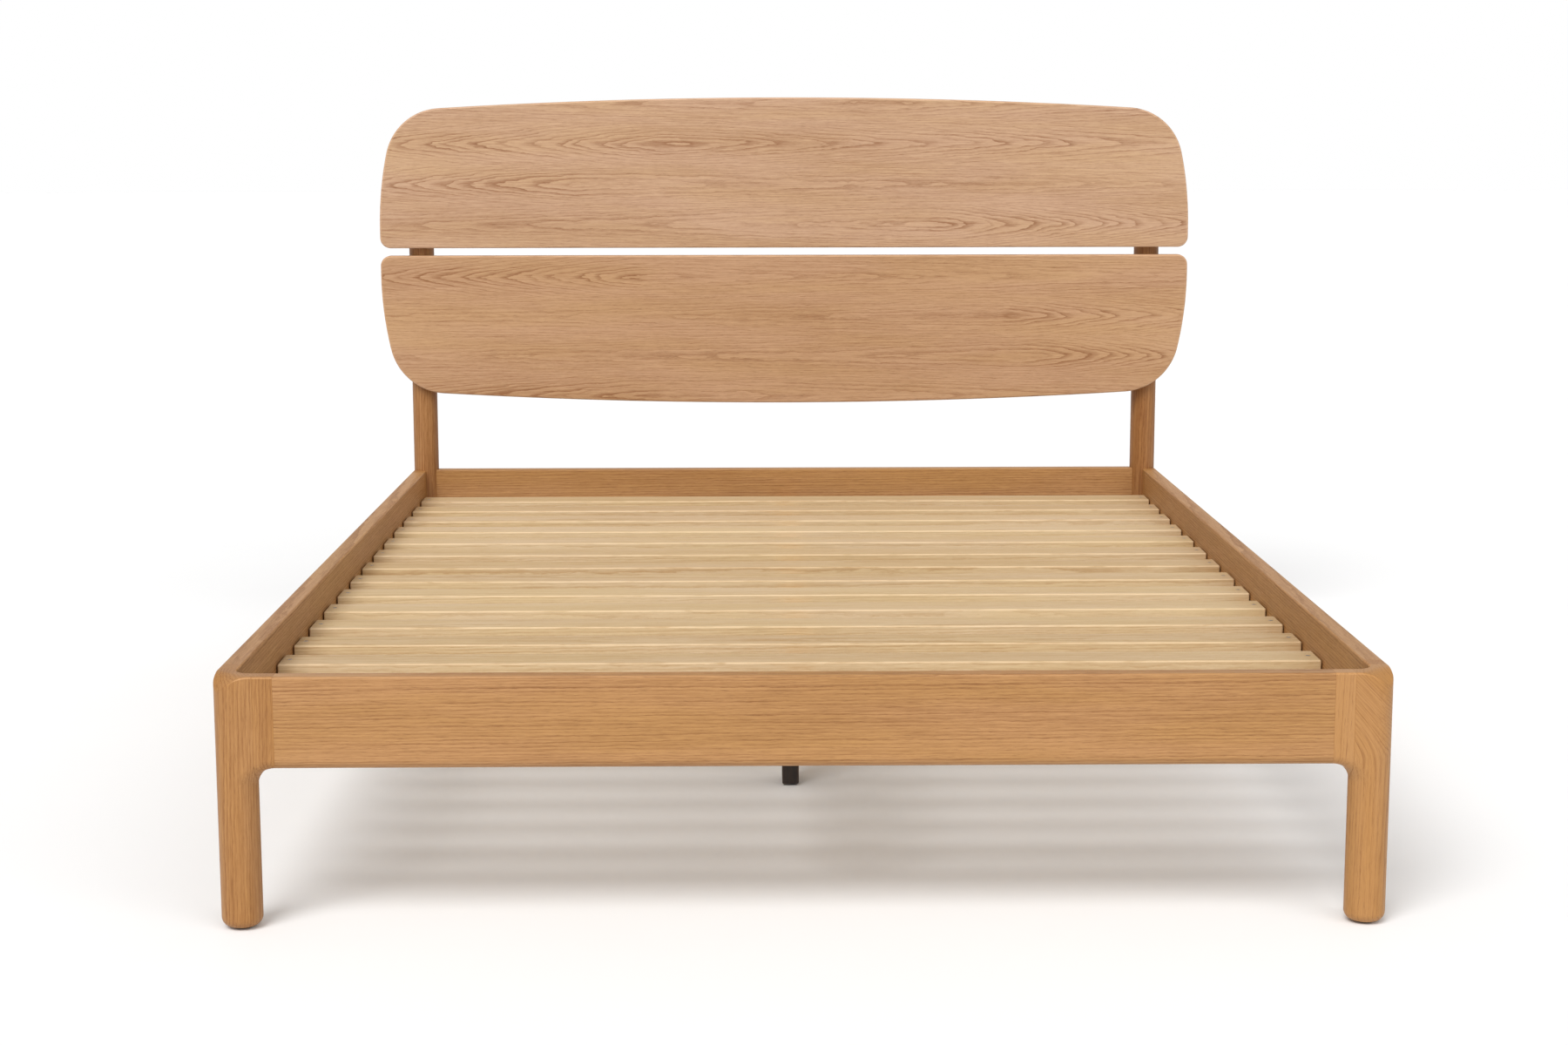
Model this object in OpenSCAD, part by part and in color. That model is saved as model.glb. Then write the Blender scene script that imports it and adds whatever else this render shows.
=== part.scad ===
// Wooden bed frame with a two-board headboard, round legs and a slatted base.
// Millimetres. +Z is up, +Y runs from the foot to the head, and the origin is on the floor
// below the middle of the frame.

/* [Overall] */
// Width over the side rails
frame_w = 1620; // [1500:5:1700]
// Length of the mattress well, foot rail to headboard
well_l = 2040; // [1950:5:2100]
// Height of the top of the rails
rail_top = 360; // [340:1:400]
// Height of the rails' section
rail_h = 130; // [128:1:150]
// Thickness of the rails
rail_t = 28; // [26:1:30]
// Height of the top of the slats
deck_z = 308; // [306:1:312]

/* [Headboard] */
// Width of the headboard
panel_w = 1733; // [1700:1:1760]
// Thickness of the headboard panels
panel_t = 22; // [20:1:24]
// Height of the middle of the gap between the two panels
gap_z = 835; // [800:1:860]
// Width of the gap between the panels
gap_w = 16; // [10:1:24]
// Height of one panel at its middle
panel_h = 318; // [300:1:340]
// Radius of the arch along a panel's long edge
arch_r = 12500; // [10000:100:20000]
// Radius of a panel's bowed ends
end_r = 750; // [600:10:900]
// Distance from the gap to the widest point of a panel
end_rise = 40; // [30:1:50]
// Radius of a panel's big outer corners
big_corner_r = 122; // [100:1:140]
// Radius of a panel's small corners at the gap
small_corner_r = 22; // [15:1:28]

/* [Legs] */
// Diameter of the foot legs
leg_d = 57; // [56:1:60]
// Diameter of the head posts
post_d = 53; // [52:1:56]
// Height of the top of the head posts
post_top = 1060; // [1000:5:1080]
// Radius of the rounded edge under a leg
leg_edge_r = 14; // [8:1:16]
// Length of a glued wing block along its rail
wing_l = 28; // [26:1:34]
// Radius of the cove between a round leg and the blocks over it
fillet_r = 24; // [18:1:25]

/* [Base] */
// Width of a slat
slat_w = 70; // [60:1:80]
// Thickness of a slat
slat_t = 18; // [16:1:20]
// Width of the centre beam
beam_w = 45; // [42:1:50]
// Height of the centre beam's section
beam_h = 55; // [50:1:56]
// Distance of each centre leg from the middle of the well
leg_spread = 247; // [220:1:300]
// Thickness of a centre leg across the bed
centre_leg_t = 28; // [26:1:32]
// Depth of a centre leg along the bed
centre_leg_w = 62; // [56:1:66]

/* [Hidden] */
$fn = 64;
eps = 0.05;                  // play of a dowel, bolt or insert in its hole
edge_r = 3;                  // eased edges of the rails
rail_round_r = 14;           // rounded lower outer edge of the rails
housing = 4;                 // depth of the panels' housing in the posts
cross_rail_end = 40;         // from a post's outer side to the end of the head cross rail
rail_bottom = rail_top - rail_h;
leg_r = leg_d / 2;
post_r = post_d / 2;
overall_l = rail_t + well_l + panel_t - housing + post_d;
foot_y = -overall_l / 2;
head_y = overall_l / 2;
post_y = head_y - post_r;
panel_back_y = head_y - post_d + housing;
panel_front_y = panel_back_y - panel_t;
side_x = frame_w / 2;
inner_x = side_x - rail_t;
post_x = side_x - post_r;

// square blocks at the top of the legs
roll_run = leg_d - 1;        // from the outer faces to where a foot corner starts to roll over
roll_r = leg_r;              // radius of that roll-over
block_reach = 45;            // radius that clears the block's corners
well_corner_r = 22;          // inner corner of the mattress well
crosspiece = 100;            // longer than any width that a cut crosses

// pads
pad_t = 2.5;
pad_r = 13;

// slatted base
slat_n = 15;
ledger_w = 30;
ledger_h = 30;
ledger_top = deck_z - slat_t;
ledger_end = 3;              // gap between a ledger's end and the leg block
slat_half = inner_x - 2;
slat_inset = 24;             // from the end of the well to the first slat
well_y0 = foot_y + rail_t;
slat_pitch = (well_l - 2 * slat_inset - slat_w) / (slat_n - 1);
beam_y0 = well_y0;
beam_y1 = post_y - rail_t / 2;
well_mid_y = well_y0 + well_l / 2;
leg_ys = [well_mid_y - leg_spread, well_mid_y + leg_spread];
tongue_t = centre_leg_t / 2; // lapped part of a centre leg
tongue_h = 45;
lap_x = -beam_w / 2;         // the legs are flush with this face of the beam

// hangers of the centre beam
hanger_t = 2.5;
hanger_l = 45;
hanger_h = 50;
hanger_tab = 25;
hanger_gap = 0.3;
cheek_x = beam_w / 2 + hanger_gap;
hanger_screw_x = cheek_x + 16;
hanger_screw_zs = [ledger_top - beam_h + 8, ledger_top - beam_h + 38];

// joint plates between the wing blocks and the side rails
plate_t = 4;
plate_h = 24;
plate_z = rail_bottom + 3;
plate_from = 3;
plate_l = 65;
plate_bolts = [14, 40, 58];  // measured from the end of the leg block
bolt_r = 3;
insert_r = 4.5;
insert_l = 12;

// dowels
dowel_r = 4;
dowel_l = 34;
leg_dowels = [rail_bottom + 28, rail_bottom + 102];
rail_dowels = [rail_bottom + 50, rail_bottom + 80];

// bolts of the headboard
panel_bolt_zs = [gap_z - 215, gap_z - 65, gap_z + 65, gap_z + 185];
sink_r = 8;
sink_depth = 10;
panel_insert_l = 14;

// screws and nuts
nut_l = 5;
screw_r = 2;
screw_head_r = 4;
screw_head_h = 2.5;
slat_screw_l = 34;
slat_screw_x = inner_x - ledger_w / 2;
ledger_screw_l = 44;
ledger_screw_n = 7;
ledger_screw_inset = 160;
hanger_screw_l = 20;

// outline of one panel, from its straight edge at y = 0, and the centres of its arcs
end_c = [panel_w / 2 - end_r, end_rise];
arch_c = [0, panel_h - arch_r];
corner_c = circles_meet(end_c, end_r - big_corner_r, arch_c, arch_r - big_corner_r);
small_c = [panel_w / 2 - small_corner_r, small_corner_r];
corner_a0 = bearing(end_c, corner_c);
corner_a1 = bearing(arch_c, corner_c);
right_edge = concat(
    arc(small_c, small_corner_r, -90, 0, 10),
    arc(end_c, end_r, 0, corner_a0, 12),
    arc(corner_c, big_corner_r, corner_a0, corner_a1, 20),
    arc(arch_c, arch_r, corner_a1, 90, 16)
);
left_edge = [for (i = [len(right_edge) - 2:-1:0]) [-right_edge[i][0], right_edge[i][1]]];

// oak, pine, steel and the rest
oak = [0.80, 0.62, 0.44];
board_oak = [0.82, 0.66, 0.50];
pale_wood = [0.86, 0.76, 0.58];
dark_wood = [0.10, 0.07, 0.05];
steel = [0.72, 0.73, 0.75];
brass = [0.78, 0.62, 0.30];
felt = [0.30, 0.28, 0.26];

// ---------------------------------------------------------------- placing

// A corner is drawn as the left foot corner: x and y run inwards from its outer faces.
module at_foot_corner(side) {
    mirror([side > 0 ? 1 : 0, 0, 0])
        translate([-side_x, foot_y, 0])
            children();
}

module at_head_corner(side) {
    mirror([side > 0 ? 1 : 0, 0, 0])
        translate([-side_x, head_y, 0])
            mirror([0, 1, 0])
                children();
}

module at_every_corner() {
    for (side = [-1, 1]) {
        at_foot_corner(side) children(0);
        at_head_corner(side) children(1);
    }
}

// Swaps x and y, which turns a front joint into a side joint.
module swapped() {
    mirror([1, -1, 0]) children();
}

// ---------------------------------------------------------------- helpers

// What a round of radius r takes off a corner at the origin.
module corner_waste(r) {
    difference() {
        translate([-1, -1]) square([r + 1, r + 1]);
        translate([r, r]) circle(r);
    }
}

// Section of a rail: x runs inwards from the outer face, y runs up.
module rail_section(lower_r) {
    difference() {
        square([rail_t, rail_h]);
        corner_waste(lower_r);
        translate([rail_t, 0]) mirror([1, 0]) corner_waste(edge_r);
        translate([0, rail_h]) mirror([0, 1]) corner_waste(edge_r);
        translate([rail_t, rail_h]) mirror([1, 0]) mirror([0, 1]) corner_waste(edge_r);
    }
}

// A rail of a given length along y, with its outer face at x = 0.
module rail_bar(length, lower_r) {
    translate([0, length, rail_bottom])
        rotate([90, 0, 0])
            linear_extrude(length)
                rail_section(lower_r);
}

// A pin along y that starts at the origin.
module along_y(r, length) {
    rotate([-90, 0, 0]) cylinder(r = r, h = length);
}

module along_x(r, length) {
    rotate([0, 90, 0]) cylinder(r = r, h = length);
}

// A countersunk screw whose head is flush with z = 0 and which points down.
module screw(length, play = 0) {
    translate([0, 0, -length]) cylinder(r = screw_r + play, h = length - screw_head_h / 2);
    translate([0, 0, -screw_head_h])
        cylinder(r1 = screw_r + play, r2 = screw_head_r + play, h = screw_head_h);
}

// A round shaft from z0 to z1 with rounded ends.
module turned_shaft(r, z0, z1, low_r, high_r) {
    rotate_extrude() {
        difference() {
            translate([0, z0]) square([r, z1 - z0]);
            translate([r, z0]) mirror([1, 0]) corner_waste(low_r);
            translate([r, z1]) mirror([1, 0]) mirror([0, 1]) corner_waste(high_r);
        }
    }
}

// ---------------------------------------------------------------- headboard outline

function arc(c, r, a0, a1, n) = [for (i = [0:n]) let (a = a0 + (a1 - a0) * i / n) c + r * [cos(a), sin(a)]];

// Meeting point of two circles, on the side of growing x.
function circles_meet(c1, r1, c2, r2) =
    let (
        d = norm(c2 - c1),
        u = (c2 - c1) / d,
        along = (d * d + r1 * r1 - r2 * r2) / (2 * d),
        off = sqrt(r1 * r1 - along * along)
    )
    c1 + along * u + off * [-u[1], u[0]];

function bearing(from, to) = atan2(to[1] - from[1], to[0] - from[0]);

// One panel, with its straight edge on z = 0 and its front face on y = 0.
module panel_blank(thickness) {
    translate([0, thickness, 0])
        rotate([90, 0, 0])
            linear_extrude(thickness)
                polygon(concat(right_edge, left_edge));
}

module place_panel(upper, y) {
    translate([0, y, gap_z])
        mirror([0, 0, upper ? 0 : 1])
            translate([0, 0, gap_w / 2])
                children();
}

module panel_bolt_spots() {
    for (side = [-1, 1])
        for (z = panel_bolt_zs)
            translate([side * post_x, 0, z])
                children();
}

module headboard_panel(upper) {
    color(board_oak)
        difference() {
            place_panel(upper, panel_front_y) panel_blank(panel_t);
            panel_bolt_spots()
                translate([0, panel_back_y - panel_insert_l - 1, 0])
                    along_y(insert_r + eps, panel_insert_l + 2);
        }
}

module headboard_upper_panel() {
    headboard_panel(true);
}

module headboard_lower_panel() {
    headboard_panel(false);
}

module panel_bolts() {
    color(steel)
        panel_bolt_spots() {
            translate([0, panel_back_y - panel_insert_l + 1, 0])
                along_y(bolt_r, head_y - sink_depth - panel_back_y + panel_insert_l);
            translate([0, head_y - sink_depth, 0]) along_y(sink_r - 1.5, 5);
        }
}

module panel_inserts() {
    color(brass)
        panel_bolt_spots()
            difference() {
                translate([0, panel_back_y - panel_insert_l, 0]) along_y(insert_r, panel_insert_l);
                translate([0, panel_back_y - panel_insert_l - 1, 0])
                    along_y(bolt_r + eps, panel_insert_l + 2);
            }
}

// ---------------------------------------------------------------- legs and wing blocks

// The lathe work that a square block shows where it becomes a round leg.
module turned_envelope(r) {
    rotate_extrude()
        difference() {
            translate([0, rail_bottom - fillet_r]) square([block_reach, rail_h + fillet_r]);
            translate([r + fillet_r, rail_bottom - fillet_r]) circle(fillet_r);
        }
}

// The roll-over of a foot corner, along the diagonal.
module roll_waste() {
    translate([roll_run / 2, roll_run / 2, rail_top - roll_r])
        rotate([0, 0, 45])
            difference() {
                translate([-crosspiece, -crosspiece, 0]) cube([crosspiece, 2 * crosspiece, roll_r + 1]);
                translate([0, -crosspiece - 1, 0]) along_y(roll_r, 2 * crosspiece + 2);
            }
}

module block_plan() {
    difference() {
        union() {
            square([rail_t, leg_d]);
            square([leg_d, rail_t]);
            difference() {
                square(rail_t + well_corner_r);
                translate([rail_t + well_corner_r, rail_t + well_corner_r]) circle(well_corner_r);
            }
        }
        corner_waste(leg_r);
    }
}

// Holes for the dowels between a leg block, its wing and the rail, along y from a corner.
module joint_dowel_row(r, length, arm) {
    for (z = leg_dowels)
        translate([rail_t / 2, arm - length / 2, z]) along_y(r, length);
    for (z = rail_dowels)
        translate([rail_t / 2, arm + wing_l - length / 2, z]) along_y(r, length);
}

module dowel_holes(arm) {
    joint_dowel_row(dowel_r + eps, dowel_l + 2, arm);
}

module foot_leg(side) {
    color(oak)
        at_foot_corner(side)
            difference() {
                union() {
                    translate([leg_r, leg_r, 0])
                        turned_shaft(leg_r, pad_t, ledger_top, leg_edge_r, 0.5);
                    intersection() {
                        translate([0, 0, rail_bottom - fillet_r])
                            linear_extrude(rail_h + fillet_r)
                                block_plan();
                        translate([leg_r, leg_r, 0]) turned_envelope(leg_r);
                    }
                }
                roll_waste();
                dowel_holes(leg_d);
                swapped() dowel_holes(leg_d);
            }
}

module foot_leg_left() {
    foot_leg(-1);
}

module foot_leg_right() {
    foot_leg(1);
}

// A wing block: it carries the rail's section on to the leg, with a fillet below.
module side_wing(arm) {
    fillet_y = arm + fillet_r;
    difference() {
        union() {
            translate([0, arm, 0]) rail_bar(wing_l, rail_round_r);
            difference() {
                translate([0, arm, rail_bottom - fillet_r]) cube([rail_t, fillet_r, fillet_r + rail_round_r]);
                translate([-1, fillet_y, rail_bottom - fillet_r]) along_x(fillet_r, rail_t + 2);
            }
        }
        translate([0, fillet_y, rail_bottom - fillet_r])
            rotate([0, 90, 0])
                rotate_extrude()
                    translate([fillet_r, 0]) corner_waste(rail_round_r);
        dowel_holes(arm);
    }
}

module plate_insert_holes(arm) {
    for (y = plate_bolts)
        translate([rail_t - insert_l - 1, arm + y, plate_z + plate_h / 2])
            along_x(insert_r + eps, insert_l + 2);
}

module foot_wing(side) {
    color(oak)
        at_foot_corner(side)
            swapped() side_wing(leg_d);
}

module foot_wing_left() {
    foot_wing(-1);
}

module foot_wing_right() {
    foot_wing(1);
}

module side_wing_foot(side) {
    color(oak)
        at_foot_corner(side)
            difference() {
                side_wing(leg_d);
                plate_insert_holes(leg_d);
            }
}

module side_wing_foot_left() {
    side_wing_foot(-1);
}

module side_wing_foot_right() {
    side_wing_foot(1);
}

module side_wing_head(side) {
    color(oak)
        at_head_corner(side)
            difference() {
                side_wing(post_d);
                plate_insert_holes(post_d);
            }
}

module side_wing_head_left() {
    side_wing_head(-1);
}

module side_wing_head_right() {
    side_wing_head(1);
}

module cross_rail_dowel_row(r, length) {
    for (z = rail_dowels)
        translate([cross_rail_end - length / 2, post_r, z]) along_x(r, length);
}

module head_post(side) {
    color(oak)
        difference() {
            at_head_corner(side)
                difference() {
                    union() {
                        translate([post_r, post_r, 0])
                            turned_shaft(post_r, pad_t, post_top, leg_edge_r, edge_r);
                        intersection() {
                            translate([0, post_r, rail_bottom - fillet_r])
                                cube([rail_t, post_r, rail_h + fillet_r]);
                            translate([post_r, post_r, 0]) turned_envelope(post_r);
                        }
                    }
                    dowel_holes(post_d);
                    cross_rail_dowel_row(dowel_r + eps, dowel_l + 2);
                    translate([cross_rail_end, post_r - rail_t / 2, rail_bottom])
                        cube([crosspiece, rail_t, rail_h]);
                }
            for (upper = [false, true])
                place_panel(upper, panel_front_y) panel_blank(panel_t);
            panel_bolt_spots() {
                translate([0, panel_back_y - 1, 0]) along_y(bolt_r + 0.3, post_d);
                translate([0, head_y - sink_depth, 0]) along_y(sink_r, sink_depth + 1);
            }
        }
}

module head_post_left() {
    head_post(-1);
}

module head_post_right() {
    head_post(1);
}

// ---------------------------------------------------------------- rails

module foot_rail() {
    rail_l = frame_w - 2 * (leg_d + wing_l);
    color(oak)
        difference() {
            translate([rail_l / 2, foot_y, 0])
                rotate([0, 0, 90])
                    rail_bar(rail_l, rail_round_r);
            for (side = [-1, 1])
                at_foot_corner(side) swapped() dowel_holes(leg_d);
            at_beam_end(false) hanger_screw_spots() screw(hanger_screw_l, eps);
        }
}

module side_rail(side) {
    start = leg_d + wing_l;
    color(oak)
        difference() {
            at_foot_corner(side)
                translate([0, start, 0])
                    rail_bar(overall_l - start - post_d - wing_l, rail_round_r);
            at_foot_corner(side) {
                dowel_holes(leg_d);
                plate_insert_holes(leg_d);
            }
            at_head_corner(side) {
                dowel_holes(post_d);
                plate_insert_holes(post_d);
            }
            ledger_screw_spots(side) screw(ledger_screw_l, eps);
        }
}

module side_rail_left() {
    side_rail(-1);
}

module side_rail_right() {
    side_rail(1);
}

module head_cross_rail() {
    color(oak)
        difference() {
            translate([side_x - cross_rail_end, post_y - rail_t / 2, 0])
                rotate([0, 0, 90])
                    rail_bar(2 * (side_x - cross_rail_end), edge_r);
            for (side = [-1, 1])
                at_head_corner(side) cross_rail_dowel_row(dowel_r + eps, dowel_l + 2);
            at_beam_end(true) hanger_screw_spots() screw(hanger_screw_l, eps);
        }
}

module joint_dowels() {
    color(pale_wood) {
        at_every_corner() {
            union() {
                joint_dowel_row(dowel_r, dowel_l, leg_d);
                swapped() joint_dowel_row(dowel_r, dowel_l, leg_d);
            }
            union() {
                joint_dowel_row(dowel_r, dowel_l, post_d);
                cross_rail_dowel_row(dowel_r, dowel_l);
            }
        }
    }
}

// ---------------------------------------------------------------- joint plates

module joint_plate(arm) {
    color(steel)
        difference() {
            translate([rail_t, arm + plate_from, plate_z]) cube([plate_t, plate_l, plate_h]);
            for (y = plate_bolts)
                translate([rail_t - 1, arm + y, plate_z + plate_h / 2])
                    along_x(bolt_r + 0.3, plate_t + 2);
        }
}

module joint_plate_foot_left() {
    at_foot_corner(-1) joint_plate(leg_d);
}

module joint_plate_foot_right() {
    at_foot_corner(1) joint_plate(leg_d);
}

module joint_plate_head_left() {
    at_head_corner(-1) joint_plate(post_d);
}

module joint_plate_head_right() {
    at_head_corner(1) joint_plate(post_d);
}

module bolt_row(arm) {
    for (y = plate_bolts)
        translate([rail_t + plate_t, arm + y, plate_z + plate_h / 2]) {
            along_x(2 * bolt_r, bolt_r);
            translate([1 - plate_t - insert_l, 0, 0]) along_x(bolt_r, plate_t + insert_l);
        }
}

module joint_bolts() {
    color(steel)
        at_every_corner() {
            bolt_row(leg_d);
            bolt_row(post_d);
        }
}

module insert_row(arm) {
    for (y = plate_bolts)
        translate([rail_t - insert_l, arm + y, plate_z + plate_h / 2])
            difference() {
                along_x(insert_r, insert_l);
                translate([-1, 0, 0]) along_x(bolt_r + eps, insert_l + 2);
            }
}

module joint_inserts() {
    color(brass)
        at_every_corner() {
            insert_row(leg_d);
            insert_row(post_d);
        }
}

// ---------------------------------------------------------------- slatted base

// Each spot turns a screw that points down so that it points outwards through a ledger.
module ledger_screw_spots(side) {
    step = (well_l - 2 * ledger_screw_inset) / (ledger_screw_n - 1);
    for (i = [0:ledger_screw_n - 1])
        translate([
            side * (inner_x - ledger_w),
            well_y0 + ledger_screw_inset + i * step,
            ledger_top - ledger_h / 2
        ])
            rotate([0, side * -90, 0])
                children();
}

module slat_screw_spots(numbers) {
    for (i = numbers)
        for (side = [-1, 1])
            translate([side * slat_screw_x, slat_mid_y(i), deck_z])
                children();
}

function slat_mid_y(i) = well_y0 + slat_inset + slat_w / 2 + i * slat_pitch;

module slat_ledger(side) {
    y0 = foot_y + leg_d + ledger_end;
    y1 = head_y - post_d - ledger_end;
    color(pale_wood)
        difference() {
            translate([side > 0 ? inner_x - ledger_w : -inner_x, y0, ledger_top - ledger_h])
                cube([ledger_w, y1 - y0, ledger_h]);
            ledger_screw_spots(side) screw(ledger_screw_l, eps);
            slat_screw_spots([0:slat_n - 1]) screw(slat_screw_l, eps);
        }
}

module slat_ledger_left() {
    slat_ledger(-1);
}

module slat_ledger_right() {
    slat_ledger(1);
}

module ledger_screws() {
    color(steel)
        for (side = [-1, 1])
            ledger_screw_spots(side) screw(ledger_screw_l);
}

module slat(number) {
    color(pale_wood)
        difference() {
            translate([-slat_half, slat_mid_y(number - 1) - slat_w / 2, deck_z - slat_t])
                cube([2 * slat_half, slat_w, slat_t]);
            slat_screw_spots([number - 1]) screw(slat_screw_l, eps);
        }
}

module slat_screws() {
    color(steel)
        slat_screw_spots([0:slat_n - 1]) screw(slat_screw_l);
}

// ---------------------------------------------------------------- centre beam and its legs

module leg_bolt_spots() {
    for (y = leg_ys)
        for (z = [ledger_top - beam_h + 12, ledger_top - beam_h + 33])
            translate([lap_x, y, z])
                children();
}

module centre_beam() {
    color(pale_wood)
        difference() {
            translate([-beam_w / 2, beam_y0, ledger_top - beam_h])
                cube([beam_w, beam_y1 - beam_y0, beam_h]);
            for (y = leg_ys)
                translate([lap_x - 1, y - centre_leg_w / 2, ledger_top - beam_h - 1])
                    cube([tongue_t + 1, centre_leg_w, tongue_h + 1]);
            leg_bolt_spots() translate([-1, 0, 0]) along_x(bolt_r + 0.3, beam_w + 2);
        }
}

module centre_leg(y) {
    color(dark_wood)
        difference() {
            union() {
                translate([lap_x, y - centre_leg_w / 2, pad_t])
                    cube([centre_leg_t, centre_leg_w, ledger_top - beam_h - pad_t]);
                translate([lap_x, y - centre_leg_w / 2, ledger_top - beam_h])
                    cube([tongue_t, centre_leg_w, tongue_h]);
            }
            leg_bolt_spots() translate([-1, 0, 0]) along_x(bolt_r + 0.3, beam_w + 2);
        }
}

module centre_leg_front() {
    centre_leg(leg_ys[0]);
}

module centre_leg_rear() {
    centre_leg(leg_ys[1]);
}

module centre_leg_bolts() {
    color(steel)
        leg_bolt_spots() {
            translate([-bolt_r, 0, 0]) along_x(2.3 * bolt_r, bolt_r);
            along_x(bolt_r, beam_w + nut_l + 2);
        }
}

module centre_leg_nuts() {
    color(steel)
        leg_bolt_spots()
            translate([beam_w, 0, 0])
                difference() {
                    rotate([0, 90, 0]) cylinder(r = 2 * bolt_r, h = nut_l, $fn = 6);
                    translate([-1, 0, 0]) along_x(bolt_r + eps, nut_l + 2);
                }
}

// A hanger is drawn against a rail face at y = 0 and reaches along +y under the beam.
module at_beam_end(at_head) {
    translate([0, at_head ? beam_y1 : beam_y0, 0])
        mirror([0, at_head ? 1 : 0, 0])
            children();
}

// Each spot turns a screw that points down so that it points into the rail.
module hanger_screw_spots() {
    for (side = [-1, 1])
        for (z = hanger_screw_zs)
            translate([side * hanger_screw_x, hanger_t, z])
                rotate([-90, 0, 0])
                    children();
}

module beam_hanger(at_head) {
    seat_z = ledger_top - beam_h;
    color(steel)
        at_beam_end(at_head)
            difference() {
                union() {
                    translate([-cheek_x, 0, seat_z - hanger_t]) cube([2 * cheek_x, hanger_l, hanger_t]);
                    for (side = [0, 1])
                        mirror([side, 0, 0])
                            translate([cheek_x, 0, seat_z - hanger_t]) {
                                cube([hanger_t, hanger_l, hanger_h]);
                                cube([hanger_tab, hanger_t, hanger_h]);
                            }
                }
                hanger_screw_spots() screw(hanger_screw_l, eps);
            }
}

module beam_hanger_foot() {
    beam_hanger(false);
}

module beam_hanger_head() {
    beam_hanger(true);
}

module hanger_screws() {
    color(steel)
        for (at_head = [false, true])
            at_beam_end(at_head) hanger_screw_spots() screw(hanger_screw_l);
}

// ---------------------------------------------------------------- pads

module pad() {
    color(felt) cylinder(r = pad_r, h = pad_t);
}

module pad_foot_left() {
    at_foot_corner(-1) translate([leg_r, leg_r, 0]) pad();
}

module pad_foot_right() {
    at_foot_corner(1) translate([leg_r, leg_r, 0]) pad();
}

module pad_head_left() {
    at_head_corner(-1) translate([post_r, post_r, 0]) pad();
}

module pad_head_right() {
    at_head_corner(1) translate([post_r, post_r, 0]) pad();
}

module pad_centre_front() {
    translate([lap_x + centre_leg_t / 2, leg_ys[0], 0]) pad();
}

module pad_centre_rear() {
    translate([lap_x + centre_leg_t / 2, leg_ys[1], 0]) pad();
}

headboard_upper_panel();
headboard_lower_panel();
head_post_left();
head_post_right();
head_cross_rail();
panel_bolts();
panel_inserts();
foot_leg_left();
foot_leg_right();
foot_wing_left();
foot_wing_right();
side_wing_foot_left();
side_wing_foot_right();
side_wing_head_left();
side_wing_head_right();
foot_rail();
side_rail_left();
side_rail_right();
joint_dowels();
joint_plate_foot_left();
joint_plate_foot_right();
joint_plate_head_left();
joint_plate_head_right();
joint_bolts();
joint_inserts();
slat_ledger_left();
slat_ledger_right();
ledger_screws();
centre_beam();
beam_hanger_foot();
beam_hanger_head();
hanger_screws();
centre_leg_front();
centre_leg_rear();
centre_leg_bolts();
centre_leg_nuts();
pad_foot_left();
pad_foot_right();
pad_head_left();
pad_head_right();
pad_centre_front();
pad_centre_rear();
slat(1);  // slat_01
slat(2);  // slat_02
slat(3);  // slat_03
slat(4);  // slat_04
slat(5);  // slat_05
slat(6);  // slat_06
slat(7);  // slat_07
slat(8);  // slat_08
slat(9);  // slat_09
slat(10);  // slat_10
slat(11);  // slat_11
slat(12);  // slat_12
slat(13);  // slat_13
slat(14);  // slat_14
slat(15);  // slat_15
slat_screws();
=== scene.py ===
import math

import bmesh
import bpy
import numpy as np
from mathutils import Matrix, Vector


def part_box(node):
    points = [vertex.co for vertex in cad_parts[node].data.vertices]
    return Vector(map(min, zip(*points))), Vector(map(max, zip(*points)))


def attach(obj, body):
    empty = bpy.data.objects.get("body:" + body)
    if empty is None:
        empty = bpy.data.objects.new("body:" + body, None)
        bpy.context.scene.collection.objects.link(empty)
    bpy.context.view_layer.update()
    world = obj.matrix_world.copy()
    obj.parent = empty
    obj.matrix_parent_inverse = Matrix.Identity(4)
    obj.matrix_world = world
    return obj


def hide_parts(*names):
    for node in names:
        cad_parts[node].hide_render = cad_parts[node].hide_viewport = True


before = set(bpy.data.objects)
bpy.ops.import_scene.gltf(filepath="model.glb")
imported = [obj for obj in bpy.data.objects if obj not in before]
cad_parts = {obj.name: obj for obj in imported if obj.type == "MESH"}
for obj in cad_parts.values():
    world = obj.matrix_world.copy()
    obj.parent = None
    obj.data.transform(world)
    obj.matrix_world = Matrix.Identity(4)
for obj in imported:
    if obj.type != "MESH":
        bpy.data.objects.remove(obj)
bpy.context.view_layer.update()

# The looks of a wooden bed frame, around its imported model. Metres, +Z up, +Y from the foot to the head.
# A corner's own frame starts at its outer edge: x runs inwards from the side, y from the foot or the head.

# -------- sizes read from the frame

SIDE_X = -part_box("side_rail_left")[0].x
RAIL_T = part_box("side_rail_left")[1].x + SIDE_X
FOOT_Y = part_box("foot_rail")[0].y
HEAD_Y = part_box("head_post_left")[1].y
RAIL_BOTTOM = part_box("foot_rail")[0].z
RAIL_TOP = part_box("foot_rail")[1].z
RAIL_H = RAIL_TOP - RAIL_BOTTOM
LEG_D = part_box("foot_leg_left")[1].x + SIDE_X
POST_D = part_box("head_post_left")[1].x + SIDE_X
POST_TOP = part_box("head_post_left")[1].z
WING_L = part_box("foot_wing_left")[1].x + SIDE_X - LEG_D
PAD_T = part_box("pad_foot_left")[1].z
LEDGER_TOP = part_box("slat_ledger_left")[1].z
PANEL_LO, PANEL_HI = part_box("headboard_upper_panel")
LOWER_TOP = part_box("headboard_lower_panel")[1].z

# -------- sizes of the shaping

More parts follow.
